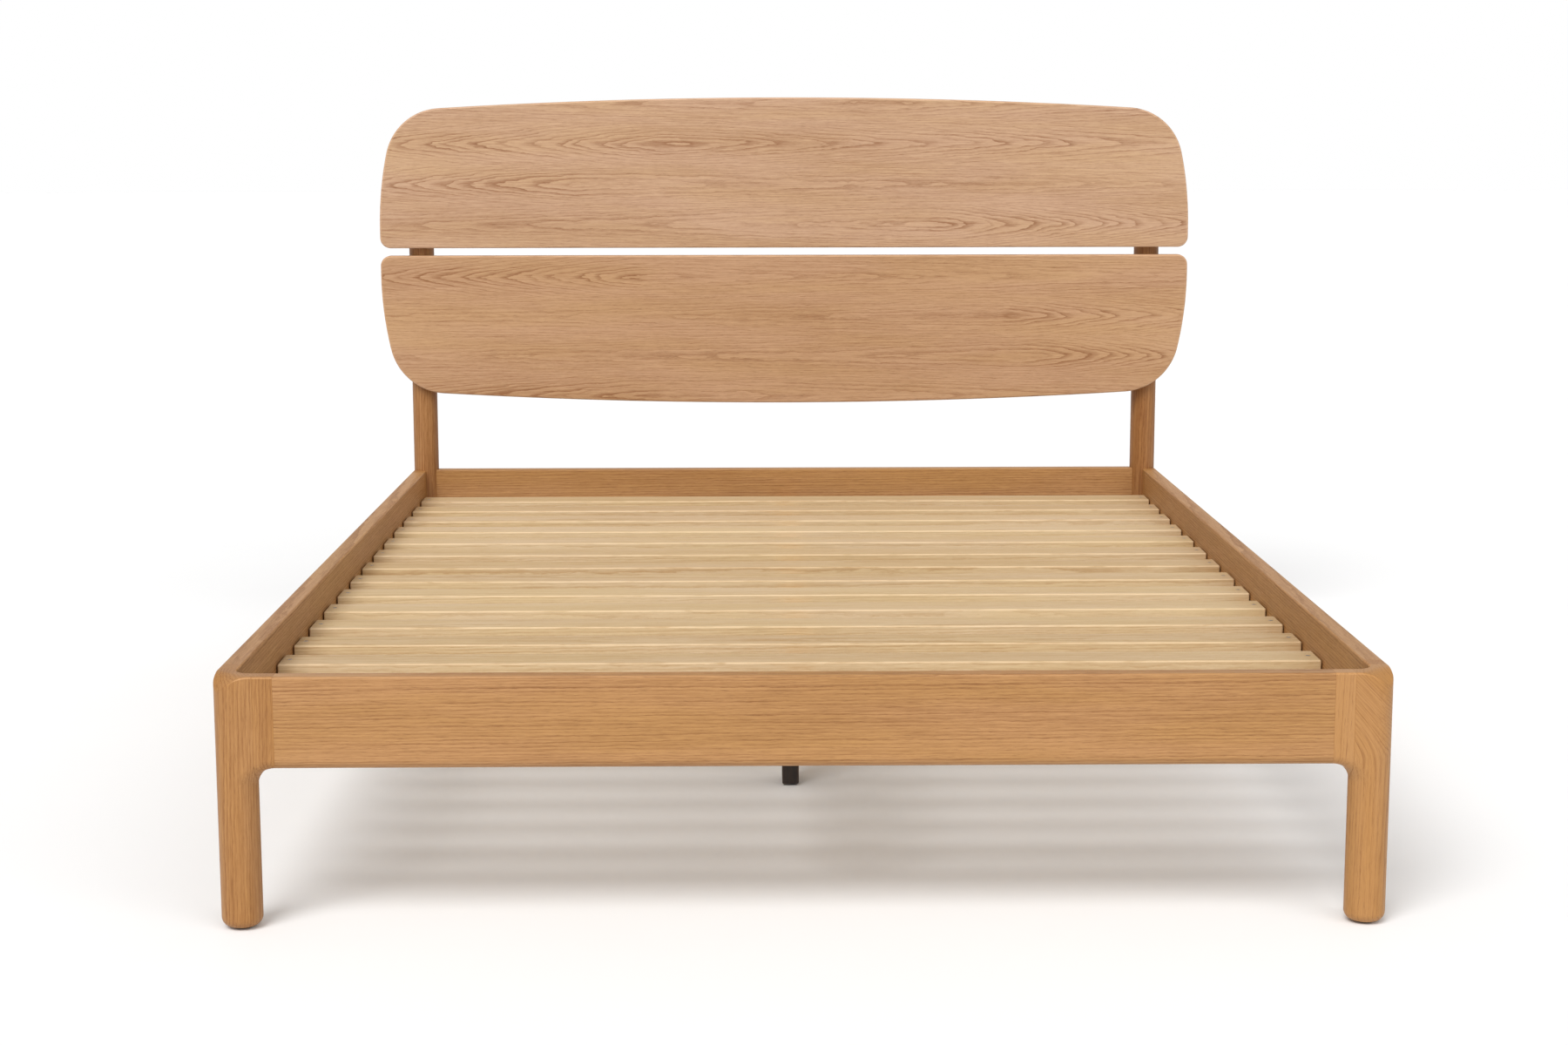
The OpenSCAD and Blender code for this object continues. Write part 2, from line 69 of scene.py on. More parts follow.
X, Y, Z = 0, 1, 2
ROUND_STEPS = 4              # facets in a small round, 22.5 degrees each
WIDE_STEPS = 12              # facets in a round of WIDE_ROUND or more
WIDE_ROUND = 0.010
WEAR_AND_HIGHLIGHT_TURNS = (15, 35)        # degrees between the facets of the small rounds, where a finish wears first and a highlight is painted
SHARP_TURN = 40              # degrees above which an edge stays sharp
EASE = 0.003                 # eased long edges
LOWER_ROUND = 0.014          # lower outer edge of the rails
LEAST_ROUND = 0.0006         # what is left of a wing block's lower edges where it meets its leg
SEAM = 0.0003                # chamfer on either side of a glue line
LEG_FOOT_R = 0.014           # round under a leg
COVE_R = 0.0275              # cove between a round leg and the blocks over it
WELL_CORNER_R = 0.022        # inner corner of the mattress well
ROLL_RUN = LEG_D - 0.001     # where a foot corner starts to roll over, along x + y
ROLL_R = LEG_D / 2
CREST = 0.0016               # eased edge along the crest of that roll
PANEL_EDGE = 0.004           # rounded edge of a panel
ARCH_R = 12.5                # arch along a panel's long edge
END_R = 0.750                # bow of a panel's ends
END_RISE = 0.040             # from the gap to the widest point of a panel
BIG_CORNER_R = 0.122         # a panel's corner between its bow and its arch
SMALL_CORNER_R = 0.022       # a panel's corner at the gap
SINK_R = 0.008               # counterbores of the headboard bolts
SINK_DEPTH = 0.010
SWEEP_R = 0.050              # how softly a bent trunk leans over
BISECTIONS = 24              # halvings in a search for a surface
PLAN_SPACING = 0.0015        # widest gap between the points of a leg's outline
LEG_CORE = (0.022, 0.022)    # a place in a foot corner's plan from which all of its outline is in sight
POST_CORE = (0.020, 0.030)   # the same in a head corner


# -------- outlines

def arc(centre, radius, start, end, steps):
    """Points along an arc, with its angles in degrees."""
    turn = np.radians(np.linspace(start, end, steps + 1))
    return np.column_stack([centre[0] + radius * np.cos(turn), centre[1] + radius * np.sin(turn)])


def loop_of(stretches, spacing=None):
    """One closed loop through the stretches, without doubled points. Gaps over spacing are filled in."""
    points = np.vstack(stretches)
    loop = []
    for a, b in zip(points, np.roll(points, -1, axis=0)):
        gap = np.linalg.norm(b - a)
        if gap > 1e-7:
            parts = max(1, math.ceil(gap / spacing)) if spacing else 1
            loop.extend(a + (b - a) * k / parts for k in range(parts))
    return np.array(loop)


def inward(loop):
    """Unit normals that point into a counter-clockwise loop."""
    along = np.roll(loop, -1, axis=0) - np.roll(loop, 1, axis=0)
    normals = np.column_stack([-along[:, 1], along[:, 0]])
    return normals / np.linalg.norm(normals, axis=1)[:, None]


def rounded_rectangle(width, height, radii):
    """A section with its lower left corner at the origin, where the radii start, anticlockwise."""
    a, b, c, d = radii
    centres = [(a, a), (width - b, b), (width - c, height - c), (d, height - d)]
    steps = [ROUND_STEPS if r < WIDE_ROUND else WIDE_STEPS for r in radii]
    return loop_of([
        arc(centre, radius, 180 + 90 * i, 270 + 90 * i, count)
        for i, (centre, radius, count) in enumerate(zip(centres, radii, steps))
    ])


def end_rings(length, ease, steps):
    """(distance along, inset) of each ring of a bar whose two ends are rounded over."""
    turn = np.radians(np.linspace(0, 90, steps + 1))
    first = [(ease * (1 - math.cos(a)), ease * (1 - math.sin(a))) for a in turn]
    return first + [(length - at, inset) for at, inset in reversed(first)]


# -------- meshes

def loft(rings):
    """Points and faces of closed rings joined one to the next, with a flat cap at either end."""
    rings = np.asarray(rings)
    count, size = rings.shape[:2]
    faces = [
        (i * size + j, i * size + (j + 1) % size, (i + 1) * size + (j + 1) % size, (i + 1) * size + j)
        for i in range(count - 1)
        for j in range(size)
    ]
    faces.append(tuple(range(size)))
    faces.append(tuple(range((count - 1) * size, count * size)))
    return rings.reshape(-1, 3), faces


def swept(section, length, origin, across, along, up, ease=SEAM, steps=1):
    """A bar that runs from origin along `along`. Its section's x lies along `across` and its y along `up`."""
    normals = inward(section)
    axes = np.array([across, along, up], float)
    rings = []
    for at, inset in end_rings(length, ease, steps):
        ring = section + inset * normals
        local = np.column_stack([ring[:, 0], np.full(len(ring), at), ring[:, 1]])
        rings.append(local @ axes + origin)
    return loft(rings)


def linked(name, data):
    """A new object in the scene."""
    made = bpy.data.objects.new(name, data)
    bpy.context.scene.collection.objects.link(made)
    return made


def raw_object(name, points, faces):
    """A mesh object with doubled points merged and its faces turned outwards."""
    mesh = bpy.data.meshes.new(name)
    mesh.from_pydata(np.asarray(points).tolist(), [], faces)
    shape = bmesh.new()
    shape.from_mesh(mesh)
    bmesh.ops.remove_doubles(shape, verts=shape.verts, dist=2e-6)
    bmesh.ops.recalc_face_normals(shape, faces=shape.faces)
    shape.to_mesh(mesh)
    shape.free()
    return linked(name, mesh)


def joined(parts):
    """Points and faces of several shapes as one."""
    points, faces, start = [], [], 0
    for part_points, part_faces in parts:
        points.append(np.asarray(part_points))
        faces.extend(tuple(i + start for i in face) for face in part_faces)
        start += len(part_points)
    return np.vstack(points), faces


def carve(target, cutters):
    """Cuts the cutters' shapes out of the target's mesh, and removes them."""
    for cutter in cutters:
        cut = target.modifiers.new("cut", "BOOLEAN")
        cut.operation = "DIFFERENCE"
        cut.solver = "EXACT"
        cut.object = cutter
    bpy.context.view_layer.update()
    depsgraph = bpy.context.evaluated_depsgraph_get()
    carved = bpy.data.meshes.new_from_object(target.evaluated_get(depsgraph), depsgraph=depsgraph)
    target.modifiers.clear()
    target.data = carved
    for cutter in cutters:
        bpy.data.objects.remove(cutter)


def mark_wear_and_highlight(mesh):
    """Stores 1 on the points of small rounded edges, where a finish wears first and a painted highlight goes,
    and 0 elsewhere.
    """
    shape = bmesh.new()
    shape.from_mesh(mesh)
    bends = [
        max((edge.calc_face_angle_signed(0.0) for edge in vert.link_edges if edge.is_manifold), default=0.0)
        for vert in shape.verts
    ]
    shape.free()
    attribute = mesh.attributes.new("wear_and_highlight_edges", "FLOAT", "POINT")
    least, most = (math.radians(turn) for turn in WEAR_AND_HIGHLIGHT_TURNS)
    attribute.data.foreach_set("value", [float(least < angle < most) for angle in bends])


def finished(node, shape, material, cutters=()):
    """The piece that stands for a CAD node: its shape less the cutters', with its material and its mask of
    worn edges and painted highlight.
    """
    piece = raw_object("finished_" + node, *shape)
    if cutters:
        carve(piece, cutters)
    mesh = piece.data
    mesh.materials.clear()
    mesh.materials.append(material)
    mesh.shade_smooth()
    mesh.set_sharp_from_angle(angle=math.radians(SHARP_TURN))
    mark_wear_and_highlight(mesh)
    even = piece.modifiers.new("even_shading", "WEIGHTED_NORMAL")
    even.keep_sharp = True
    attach(piece, "root")
    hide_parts(node)
    return piece


def set_grain(piece, along, heart, slope=(0.0, 0.0), shift=0.0, tone=0.0, sweep=(0.0, 0.0), across=None):
    """Stores where each point lay in its tree: x up the trunk, which is the axis `along`, y and z from the
    heart on the axes `across`. heart is its place from the piece's middle, and slope how it leans along the
    piece. sweep bends the trunk over: from how far along, and how steeply. A higher tone is darker."""
    mesh = piece.data
    spots = np.empty(len(mesh.vertices) * 3)
    mesh.vertices.foreach_get("co", spots)
    spots = spots.reshape(-1, 3)
    spots = spots - (spots.min(axis=0) + spots.max(axis=0)) / 2
    first, second = across or [axis for axis in (X, Y, Z) if axis != along]
    run = spots[:, along]
    start, steepness = sweep
    over = np.maximum(run - start, 0.0)
    bent = steepness * over ** 2 / (over + SWEEP_R)
    tree = np.column_stack([
        run + shift,
        spots[:, first] - heart[0] - slope[0] * run - bent,
        spots[:, second] - heart[1] - slope[1] * run,
    ])
    attribute = mesh.attributes.new("timber", "FLOAT_VECTOR", "POINT")
    attribute.data.foreach_set("vector", tree.ravel())
    piece["tone"] = tone


def solids(node):
    """The points of each separate solid of a CAD node."""
    shape = bmesh.new()
    shape.from_mesh(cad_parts[node].data)
    bmesh.ops.remove_doubles(shape, verts=shape.verts, dist=1e-6)
    left, found = set(shape.verts), []
    while left:
        group, waiting = [], [left.pop()]
        while waiting:
            vert = waiting.pop()
            group.append(vert.co[:])
            for edge in vert.link_edges:
                other = edge.other_vert(vert)
                if other in left:
                    left.remove(other)
                    waiting.append(other)
        found.append(np.array(group))
    shape.free()
    return sorted(found, key=lambda points: tuple(np.round(points.min(axis=0), 4)))


class Fastener:
    """Where a bolt or a screw of the CAD model sits: the middle of its head's top, and the way it points."""

    def __init__(self, points):
        low, high = points.min(axis=0), points.max(axis=0)
        middle = (low + high) / 2
        self.axis = int(np.argmax(high - low))
        self.length = (high - low)[self.axis]
        self.head_r = (high - low)[self.axis - 1] / 2
        out = np.linalg.norm(np.delete(points - middle, self.axis, axis=1), axis=1)
        wide = points[out > 0.9 * self.head_r][:, self.axis]
        towards = 1.0 if wide.mean() > middle[self.axis] else -1.0
        self.top = middle.copy()
        self.top[self.axis] += towards * self.length / 2
        self.into = np.zeros(3)
        self.into[self.axis] = -towards

    def lathe(self, profile):
        """Turns a profile of (depth below the head's top, radius) rings about the axis. A third value gives
        the outline of a ring that isn't a circle."""
        turn = np.radians(np.arange(0, 360, 10))
        across = np.roll(self.into, 1)
        other = np.cross(self.into, across)
        rings = []
        for depth, radius, *outline in profile:
            reach = radius * outline[0](turn) if outline else radius
            ring = np.outer(reach * np.cos(turn), across) + np.outer(reach * np.sin(turn), other)
            rings.append(self.top + self.into * depth + ring)
        return loft(rings)


def hexagon(turn):
    """Reach of a hexagon's outline, 1 at its corners."""
    sixth = math.pi / 3
    return math.cos(sixth / 2) / np.cos(turn % sixth - sixth / 2)


def six_lobes(turn):
    """Reach of a six-lobed outline, 1 at the tips of its lobes."""
    return 0.86 + 0.14 * np.cos(6 * turn)


def socket_bolt(place, head_h, shank_r):
    """A bolt with a round head, its edges broken, and a hexagon socket."""
    r, socket, ease = place.head_r, 0.46 * place.head_r, 0.0005
    return place.lathe([
        (0.62 * head_h, 0.3 * socket, hexagon), (0.60 * head_h, socket, hexagon), (ease, socket, hexagon),
        (0.0, socket + ease, hexagon), (0.0, r - 2 * ease), (0.3 * ease, r - 0.8 * ease),
        (ease, r - 0.2 * ease), (2 * ease, r), (head_h, r), (head_h, shank_r),
        (place.length - shank_r / 2, shank_r), (place.length, shank_r / 2),
    ])


def wood_screw(place, head_h, shank_r):
    """A countersunk screw with a six-lobed recess and a point."""
    r, recess = place.head_r - 0.0002, 0.42 * place.head_r
    return place.lathe([
        (0.75 * head_h, 0.35 * recess, six_lobes), (0.65 * head_h, 0.8 * recess, six_lobes),
        (0.0001, recess, six_lobes), (0.0, recess + 0.0003, six_lobes), (0.0, r - 0.0004),
        (0.0001, r - 0.0001), (0.0004, r), (head_h, shank_r),
        (place.length - 4 * shank_r, shank_r), (place.length, 0.1 * shank_r),
    ])


def sink_hole(place, head_h, shank_r):
    """What a countersunk screw's hole takes out of the board it holds."""
    gap, past = 0.0002, 0.001
    return place.lathe([
        (-past, place.head_r + gap), (0.0, place.head_r + gap),
        (head_h, shank_r + gap), (head_h + past, shank_r + gap),
    ])


# -------- material nodes

class Nodes:
    """A node tree in the making. Each call adds nodes and returns an output."""

    def __init__(self, tree):
        self.tree = tree

    def put(self, socket, value):
        if isinstance(value, bpy.types.NodeSocket):
            self.tree.links.new(value, socket)
        else:
            socket.default_value = value

    def node(self, kind, inputs, **settings):
        made = self.tree.nodes.new("ShaderNode" + kind)
        for key, value in settings.items():
            setattr(made, key, value)
        for key, value in inputs.items():
            self.put(made.inputs[key], value)
        return made

    def maths(self, operation, a, b=0.0, c=0.0):
        return self.node("Math", {0: a, 1: b, 2: c}, operation=operation).outputs[0]

    def times(self, a, b):
        return self.maths("MULTIPLY", a, b)

    def minus(self, a, b):
        return self.maths("SUBTRACT", a, b)

    def clamp(self, value, low, high):
        return self.maths("MAXIMUM", self.maths("MINIMUM", value, high), low)

    def total(self, *terms):
        """The sum of (share, value) terms."""
        result = 0.0
        for share, value in terms:
            result = self.maths("MULTIPLY_ADD", value, share, result)
        return result

    def stretch(self, vector, x, y, z):
        return self.node("VectorMath", {0: vector, 1: (x, y, z)}, operation="MULTIPLY").outputs[0]

    def noise(self, vector, detail=2.0, roughness=0.5):
        inputs = {"Vector": vector, "Scale": 1.0, "Detail": detail, "Roughness": roughness}
        return self.node("TexNoise", inputs).outputs["Fac"]

    def step(self, value, low, high, before=0.0, after=1.0):
        """`before` while the value is below low, `after` when it is above high, and smooth between."""
        inputs = {"Value": value, "From Min": low, "From Max": high, "To Min": before, "To Max": after}
        return self.node("MapRange", inputs, interpolation_type="SMOOTHSTEP").outputs[0]

    def curve(self, value, stops, interpolation="EASE"):
        """A colour ramp through (place, colour) stops, where a plain number is a grey."""
        made = self.node("ValToRGB", {0: value})
        ramp = made.color_ramp
        ramp.interpolation = interpolation
        while len(ramp.elements) < len(stops):
            ramp.elements.new(0.5)
        for element, (place, _) in zip(ramp.elements, stops):
            element.position = place
        for element, (_, colour) in zip(ramp.elements, stops):
            grey = isinstance(colour, float)
            element.color = (colour, colour, colour, 1.0) if grey else (*colour, 1.0)
        return made.outputs["Color"]

    def mix(self, share, a, b):
        a, b = ((*value, 1.0) if isinstance(value, tuple) else value for value in (a, b))
        return self.node("Mix", {0: share, 6: a, 7: b}, data_type="RGBA").outputs[2]

    def split(self, vector):
        made = self.node("SeparateXYZ", {0: vector})
        return [made.outputs[i] for i in range(3)]

    def attribute(self, name, output="Vector"):
        return self.node("Attribute", {}, attribute_name=name).outputs[output]

    def piece_value(self, name):
        """A number kept on the piece itself."""
        return self.node("Attribute", {}, attribute_type="OBJECT", attribute_name=name).outputs["Fac"]

    def place(self):
        return self.node("TexCoord", {}).outputs["Object"]


class Finish(Nodes):
    """A procedural material in the making."""

    def __init__(self, name, **shader):
        self.material = bpy.data.materials.new(name)
        self.material.use_nodes = True
        super().__init__(self.material.node_tree)
        self.shader = self.tree.nodes["Principled BSDF"]
        for socket, value in shader.items():
            self.shader.inputs[socket.replace("_", " ")].default_value = value

    def end(self, colour, roughness, height, relief):
        """Links what varies to the shader. relief is the depth of the bumps, in metres."""
        bump = self.node("Bump", {"Height": height, "Distance": relief, "Strength": 0.5})
        self.put(self.shader.inputs["Base Color"], colour)
        self.put(self.shader.inputs["Roughness"], roughness)
        self.put(self.shader.inputs["Normal"], bump.outputs["Normal"])
        return self.material


# Each glued-up stave of a panel, from the bottom: where its flame sits across the bed, and how fast its rings
# open to the left and to the right of it.
UPPER_STAVES = [(0.315, 0.030, 0.150), (-0.430, 0.110, 0.020), (-0.245, 0.130, 0.070), (0.200, 0.030, 0.050)]
LOWER_STAVES = [(-0.300, 0.090, 0.030), (0.520, 0.020, 0.150), (0.478, 0.020, 0.130), (-0.306, 0.140, 0.025)]
STAVE_W = 0.0855
UPPER_STAVES_FROM = 0.850    # heights of the lowest staves' lower edges
LOWER_STAVES_FROM = 0.482
STAVE_REACH = 1.0            # the flames lie within this distance of the middle
STAVE_SLOPE = 0.25           # the steepest opening that a stave may have
LENS_L = 0.060               # half the length of the closed rings in the middle of a flame
TIP_R = 0.0050               # roundness of the flame's points
CLOSING = 9.0                # how much the rings crowd towards a stave's edges, per metre


def stave_rings(f, u, v, w, staves):
    """Distance from the heart inside each stave, and 1 in the stave's flame but 0 round it."""
    number = f.clamp(f.maths("FLOOR", f.maths("DIVIDE", v, STAVE_W)), 0.0, len(staves) - 1.0)
    stops = [
        (i / len(staves), ((at + STAVE_REACH) / (2 * STAVE_REACH), left / STAVE_SLOPE, right / STAVE_SLOPE))
        for i, (at, left, right) in enumerate(staves)
    ]
    pick = f.maths("DIVIDE", f.maths("ADD", number, 0.5), float(len(staves)))
    at, left, right = f.split(f.curve(pick, stops, "CONSTANT"))
    from_flame = f.minus(u, f.total((2 * STAVE_REACH, at), (-STAVE_REACH, 1.0)))
    far = f.minus(f.maths("SQRT", f.maths("MULTIPLY_ADD", from_flame, from_flame, LENS_L ** 2)), LENS_L)
    on_right = f.step(from_flame, -0.02, 0.02)
    slope = f.maths("ADD", left, f.times(on_right, f.minus(right, left)))
    rise = f.times(far, slope)
    across = f.minus(v, f.times(f.maths("ADD", number, 0.5), STAVE_W))
    across_2 = f.times(across, across)
    side = f.maths("SQRT", f.maths("ADD", across_2, TIP_R ** 2))
    distance = f.total((0.60, side), (CLOSING, across_2), (STAVE_SLOPE, rise), (0.7, w), (0.0131, number))
    near = f.step(f.maths("ABSOLUTE", across), 0.42 * STAVE_W, 0.06 * STAVE_W)
    flame = f.times(near, f.step(slope, 0.0, 0.10 / STAVE_SLOPE))
    return distance, flame


def round_rings(f, v, w):
    """Distance from the heart of the tree."""
    return f.maths("SQRT", f.total((1.0, f.times(v, v)), (1.0, f.times(w, w))))


def timber(name, pale, gold, deep, pore, ring, figure, staves=None, waver=0.4, pores=1.0, shine=0.45):
    """Sawn and lacquered timber: rings `ring` metres apart, streaks and pores, all stretched along the trunk.
    figure is the strength of the rings, waver how far they wander, and pores the strength of the pores."""
    f = Finish(name, Specular_IOR_Level=0.35)
    tree = f.attribute("timber")
    u, v, w = f.split(tree)
    if staves:
        distance, flame = stave_rings(f, u, v, w, staves)
        strength = f.total((0.55 * figure, flame), (0.45 * figure, 1.0))
    else:
        distance, strength = round_rings(f, v, w), figure
    sway = f.noise(f.stretch(tree, 2.2, 11.0, 11.0), 2.0)
    ripple = f.noise(f.stretch(tree, 17.0, 80.0, 80.0), 3.0)
    fray = f.noise(f.stretch(tree, 75.0, 420.0, 420.0), 2.0)
    distance = f.total((1.0, distance), (0.020 * waver, sway), (0.0130 * waver, ripple), (0.0018, fray))
    uneven = f.noise(f.node("CombineXYZ", {0: f.times(distance, 60.0)}).outputs[0], 2.0)
    rings = f.total((1.0 / ring, distance), (2.0, uneven))
    number = f.maths("FLOOR", rings)
    phase = f.maths("FRACT", rings)
    profile = f.curve(phase, [(0.0, 0.05), (0.10, 1.0), (0.32, 0.60), (0.60, 0.10), (1.0, 0.05)])
    depth = f.node("TexWhiteNoise", {"W": number}, noise_dimensions="1D").outputs["Value"]
    band = f.times(profile, f.total((0.60, depth), (0.40, 1.0)))
    streak = f.noise(f.stretch(tree, 9.0, 380.0, 380.0), 3.0, 0.6)
    fleck = f.noise(f.stretch(tree, 30.0, 800.0, 800.0), 2.0)
    fibre = f.noise(f.stretch(tree, 90.0, 2400.0, 2400.0), 1.0)
    drift = f.noise(f.stretch(tree, 1.3, 8.0, 8.0), 2.0)
    blush = f.noise(f.stretch(tree, 2.1, 17.0, 17.0), 2.0)
    dash = f.times(f.step(fibre, 0.58, 0.70), f.total((0.75, band), (0.30, 1.0)))
    shade = f.total(
        (1.0, f.times(band, strength)), (0.95, f.minus(streak, 0.5)),
        (0.85, f.minus(fleck, 0.5)), (0.40, f.minus(fibre, 0.5)),
        (0.70, f.minus(drift, 0.5)), (0.30, f.piece_value("tone")), (0.16, 1.0),
    )
    shade = f.clamp(shade, 0.0, 1.0)
    base = f.mix(f.step(blush, 0.32, 0.66), pale, gold)
    colour = f.mix(shade, base, deep)
    colour = f.mix(f.times(dash, 0.55 * pores), colour, pore)
    # Worn finish and painted highlight: in patches, the small rounded edges are mixed towards a colour
    # brighter than the pale wood. This is partly worn finish and partly painted highlight, as where an edge
    # catches the lamps.
    wear_and_highlight_edges = f.attribute("wear_and_highlight_edges", "Fac")
    rub_and_highlight = f.times(wear_and_highlight_edges, f.step(f.noise(f.stretch(tree, 22.0, 160.0, 160.0), 2.0), 0.30, 0.55))
    colour = f.mix(f.times(rub_and_highlight, 0.45), colour, tuple(min(1.0, 1.25 * c) for c in pale))
    roughness = f.total((1.0, shine), (0.10, shade), (0.16, dash), (-0.06, rub_and_highlight))
    height = f.total((-1.0, dash), (-0.15, band), (0.12, fleck))
    return f.end(colour, roughness, height, 0.00012)


def stained_wood():
    """Near-black stained wood, with a trace of grain."""
    f = Finish("dark_stain", Specular_IOR_Level=0.5)
    spot = f.place()
    grain = f.noise(f.stretch(spot, 260.0, 260.0, 9.0), 3.0)
    cloud = f.noise(f.stretch(spot, 14.0, 14.0, 5.0), 2.0)
    wear_and_highlight_edges = f.times(f.attribute("wear_and_highlight_edges", "Fac"), f.step(cloud, 0.4, 0.7))
    colour = f.mix(f.step(grain, 0.3, 0.75), (0.009, 0.004, 0.002), (0.030, 0.014, 0.007))
    colour = f.mix(f.times(wear_and_highlight_edges, 0.5), colour, (0.10, 0.05, 0.025))
    return f.end(colour, f.total((0.36, 1.0), (0.25, grain)), grain, 0.0002)


def metal(name, colour, dull, roughness):
    """Plated metal: cloudy, finely brushed and dulled in patches."""
    f = Finish(name, Metallic=1.0)
    spot = f.place()
    cloud = f.noise(f.stretch(spot, 90.0, 90.0, 90.0), 3.0)
    brush = f.noise(f.stretch(spot, 300.0, 300.0, 2600.0), 2.0)
    grains = f.node("TexVoronoi", {"Vector": spot, "Scale": 420.0}).outputs["Distance"]
    tone = f.total((0.7, cloud), (0.5, grains))
    colour = f.mix(f.step(tone, 0.25, 0.75), colour, dull)
    return f.end(colour, f.total((roughness, 1.0), (0.22, cloud), (0.08, brush)), brush, 0.00008)


def felt():
    """Pressed wool: matted fibres."""
    f = Finish("felt_pad", Roughness=0.95, Specular_IOR_Level=0.15, Sheen_Weight=0.4)
    spot = f.place()
    mat = f.noise(f.stretch(spot, 900.0, 900.0, 900.0), 4.0, 0.7)
    clump = f.noise(f.stretch(spot, 160.0, 160.0, 160.0), 2.0)
    colour = f.mix(f.total((0.6, mat), (0.4, clump)), (0.045, 0.040, 0.036), (0.150, 0.135, 0.120))
    return f.end(colour, f.total((0.90, 1.0), (0.08, mat)), mat, 0.0008)


def dowel_wood():
    """Turned beech, for the dowels inside the joints."""
    f = Finish("dowel_beech", Specular_IOR_Level=0.3)
    spot = f.place()
    fleck = f.noise(f.stretch(spot, 700.0, 700.0, 240.0), 2.0)
    cloud = f.noise(f.stretch(spot, 40.0, 40.0, 40.0), 2.0)
    colour = f.mix(f.total((0.6, fleck), (0.4, cloud)), (0.66, 0.47, 0.30), (0.50, 0.32, 0.18))
    return f.end(colour, f.total((0.55, 1.0), (0.15, fleck)), fleck, 0.0002)


# Colours of the timbers between their rings (pale and gold, in patches) and in them (deep).
UPPER = dict(pale=(0.520, 0.332, 0.212), gold=(0.515, 0.328, 0.188), deep=(0.280, 0.132, 0.062))
LOWER = dict(pale=(0.488, 0.292, 0.166), gold=(0.480, 0.288, 0.146), deep=(0.265, 0.118, 0.047))
RAIL = dict(pale=(0.440, 0.228, 0.090), gold=(0.425, 0.220, 0.074), deep=(0.225, 0.090, 0.024))
LEG = dict(pale=(0.428, 0.216, 0.076), gold=(0.408, 0.196, 0.056), deep=(0.205, 0.072, 0.015))
PINE = dict(pale=(0.600, 0.450, 0.280), gold=(0.590, 0.435, 0.240), deep=(0.430, 0.270, 0.125))
OAK_PORE = (0.140, 0.055, 0.020)
PINE_PORE = (0.330, 0.190, 0.085)
PANEL = dict(pore=OAK_PORE, ring=0.0066, figure=0.94, waver=0.7)
upper_oak = timber("oak_upper_board", staves=UPPER_STAVES, **UPPER, **PANEL)
lower_oak = timber("oak_lower_board", staves=LOWER_STAVES, **LOWER, **PANEL)
rail_oak = timber("oak_rails", **RAIL, pore=OAK_PORE, ring=0.0048, figure=0.64)
leg_oak = timber("oak_legs", **LEG, pore=OAK_PORE, ring=0.0046, figure=0.46)
pine = timber("pine_boards", **PINE, pore=PINE_PORE, ring=0.0045, figure=0.6, pores=0.2, shine=0.55)
dark_stain = stained_wood()
zinc = metal("zinc_plate", (0.62, 0.64, 0.66), (0.40, 0.41, 0.43), 0.26)
brass = metal("brass_insert", (0.78, 0.57, 0.25), (0.48, 0.32, 0.12), 0.28)
felt_pad = felt()
beech = dowel_wood()


# -------- headboard

def panel_outline():
    """Outline of a panel, with its straight edge on y = 0 and its middle on x = 0."""
    half = PANEL_HI.x
    height = PANEL_HI.z - PANEL_LO.z
    end = np.array([half - END_R, END_RISE])
    arch = np.array([0.0, height - ARCH_R])
    apart = np.linalg.norm(arch - end)
    to_arch = (arch - end) / apart
    near, far = END_R - BIG_CORNER_R, ARCH_R - BIG_CORNER_R
    reach = (apart ** 2 + near ** 2 - far ** 2) / (2 * apart)
    corner = end + reach * to_arch + math.sqrt(near ** 2 - reach ** 2) * np.array([-to_arch[1], to_arch[0]])
    turn_0 = math.degrees(math.atan2(corner[1] - end[1], corner[0] - end[0]))
    turn_1 = math.degrees(math.atan2(corner[1] - arch[1], corner[0] - arch[0]))
    right = np.vstack([
        arc((half - SMALL_CORNER_R, SMALL_CORNER_R), SMALL_CORNER_R, -90, 0, 10),
        arc(end, END_R, 0, turn_0, 14),
        arc(corner, BIG_CORNER_R, turn_0, turn_1, 24),
        arc(arch, ARCH_R, turn_1, 90, 16),
    ])
    left = right[::-1] * (-1, 1)
    return loop_of([right, left])


def build_panels():
    """The two boards of the headboard, with their trees' y up the board and z through it."""
    thickness, height = PANEL_HI.y - PANEL_LO.y, PANEL_HI.z - PANEL_LO.z
    for node, material, base, rise, staves_from in (
        ("headboard_upper_panel", upper_oak, PANEL_LO.z, 1, UPPER_STAVES_FROM),
        ("headboard_lower_panel", lower_oak, LOWER_TOP, -1, LOWER_STAVES_FROM),
    ):
        origin, up = (0.0, PANEL_LO.y, base), (0, 0, rise)
        board = swept(panel_outline(), thickness, origin, (1, 0, 0), (0, 1, 0), up, PANEL_EDGE, ROUND_STEPS)
        piece = finished(node, board, material)
        middle = base + rise * height / 2
        set_grain(piece, X, (staves_from - middle, 0.0), across=(Z, Y))


# -------- corners

def in_corner(shape, side, at_head):
    """A shape of a corner's own frame, in the bed's."""
    points, faces = shape
    axes = np.array([[-side, 0, 0], [0, -1 if at_head else 1, 0], [0, 0, 1]], float)
    return points @ axes + (side * SIDE_X, HEAD_Y if at_head else FOOT_Y, 0.0), faces


def at_height(ring, z):
    """A ring of a corner's plan, raised to one height or to one for each point."""
    return np.column_stack([ring, np.broadcast_to(z, len(ring))])


def top_height(x, y):
    """Top of a foot corner: flat inside, and rolled over towards its outer edge."""
    over = np.maximum(ROLL_RUN - x - y, 0.0) / math.sqrt(2)
    return RAIL_TOP - ROLL_R + np.sqrt(ROLL_R ** 2 - np.minimum(over, ROLL_R) ** 2)


def set_back(distance, radius):
    """How far a rounded edge stands back, at a distance from the face that it starts on."""
    return radius - np.sqrt(radius ** 2 - np.clip(radius - distance, 0.0, radius) ** 2)


